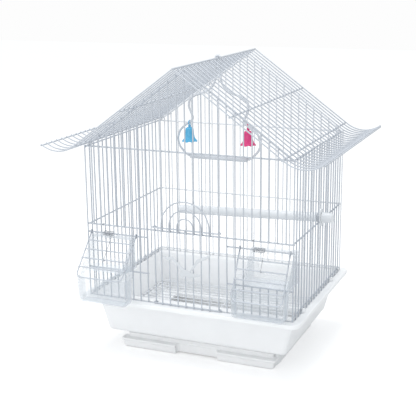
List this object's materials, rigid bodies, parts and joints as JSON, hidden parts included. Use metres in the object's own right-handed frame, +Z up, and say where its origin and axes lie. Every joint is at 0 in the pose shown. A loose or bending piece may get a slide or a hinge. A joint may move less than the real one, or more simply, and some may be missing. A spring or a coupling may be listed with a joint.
{
  "type": "bird cage",
  "caption": "Small white wire bird cage with a gabled wire roof, pull-out tray, lifting door, outside feeders with sprung flaps, perch and a swing with bells.",
  "frame": {"origin": "on the floor, under the middle of the object's bounding box", "axes": "+Z up, +Y toward the back, -Y toward the door and feeders"},
  "size_m": [0.4094, 0.3252, 0.4292],
  "materials": {
    "coated_wire": "white powder coat, satin",
    "base_plastic": "white moulded plastic, satin",
    "tray_plastic": "white moulded plastic, satin",
    "fitting_plastic": "white moulded plastic",
    "clear_plastic": "clear moulded plastic",
    "spring_steel": "bright spring wire",
    "blue_plastic": "glossy blue plastic",
    "pink_plastic": "glossy pink plastic"
  },
  "bodies": {
    "cage": {"back_panel": "coated_wire", "base_pan": "base_plastic", "feeder_cup_right": "clear_plastic", "flap_spring_left": "spring_steel", "flap_spring_right": "spring_steel", "floor_grille": "coated_wire", "front_panel": "coated_wire", "left_panel": "coated_wire", "perch_flange": "fitting_plastic", "perch_knob": "fitting_plastic", "perch_rod": "fitting_plastic", "ridge_rod": "coated_wire", "right_panel": "coated_wire", "rim_clip_left_front": "fitting_plastic", "rim_clip_left_rear": "fitting_plastic", "rim_clip_right_front": "fitting_plastic", "rim_clip_right_rear": "fitting_plastic", "roof_left": "coated_wire", "roof_right": "coated_wire"},
    "door": {"front_door": "coated_wire", "door_ornament": "fitting_plastic"},
    "tray": {"slide_tray": "tray_plastic"},
    "flap_left": {"feeder_flap_left": "coated_wire"},
    "flap_right": {"feeder_flap_right": "coated_wire"},
    "cup_left": {"feeder_cup_left": "clear_plastic"},
    "swing": {"swing_frame": "fitting_plastic", "swing_perch": "fitting_plastic"},
    "blue_bell": {"bell_blue": "blue_plastic"},
    "pink_bell": {"bell_pink": "pink_plastic"}
  },
  "joints": [
    {"name": "door_lift", "type": "slide", "parent": "cage", "child": "door", "axis": [0, 0, 1], "range_m": [0, 0.1]},
    {"name": "tray_slide", "type": "slide", "parent": "cage", "child": "tray", "axis": [0, -1, 0], "range_m": [0, 0.165]},
    {"name": "flap_left_hinge", "type": "hinge", "parent": "cage", "child": "flap_left", "pos_m": [-0.114, -0.11171, 0.183], "axis": [-1, 0, 0], "range_deg": [0, 78], "stiffness_Nm_per_rad": 0.02, "springref_deg": -57.3, "deforming": ["flap_spring_left"]},
    {"name": "flap_right_hinge", "type": "hinge", "parent": "cage", "child": "flap_right", "pos_m": [0.114, -0.11171, 0.183], "axis": [-1, 0, 0], "range_deg": [0, 93], "stiffness_Nm_per_rad": 0.02, "springref_deg": -57.3, "deforming": ["flap_spring_right"]},
    {"name": "cup_left_slide", "type": "slide", "parent": "cage", "child": "cup_left", "axis": [0, 1, 0], "range_m": [0, 0.0203]},
    {"name": "swing_hang", "type": "hinge", "parent": "cage", "child": "swing", "pos_m": [0, 0.00659, 0.424], "axis": [0, 1, 0], "range_deg": [-12, 12]},
    {"name": "blue_bell_hang", "type": "hinge", "parent": "swing", "child": "blue_bell", "pos_m": [-0.046, 0.00659, 0.3287], "axis": [1, 0, 0], "range_deg": [-28, 28]},
    {"name": "pink_bell_hang", "type": "hinge", "parent": "swing", "child": "pink_bell", "pos_m": [0.046, 0.00659, 0.3287], "axis": [1, 0, 0], "range_deg": [-28, 28]}
  ]
}
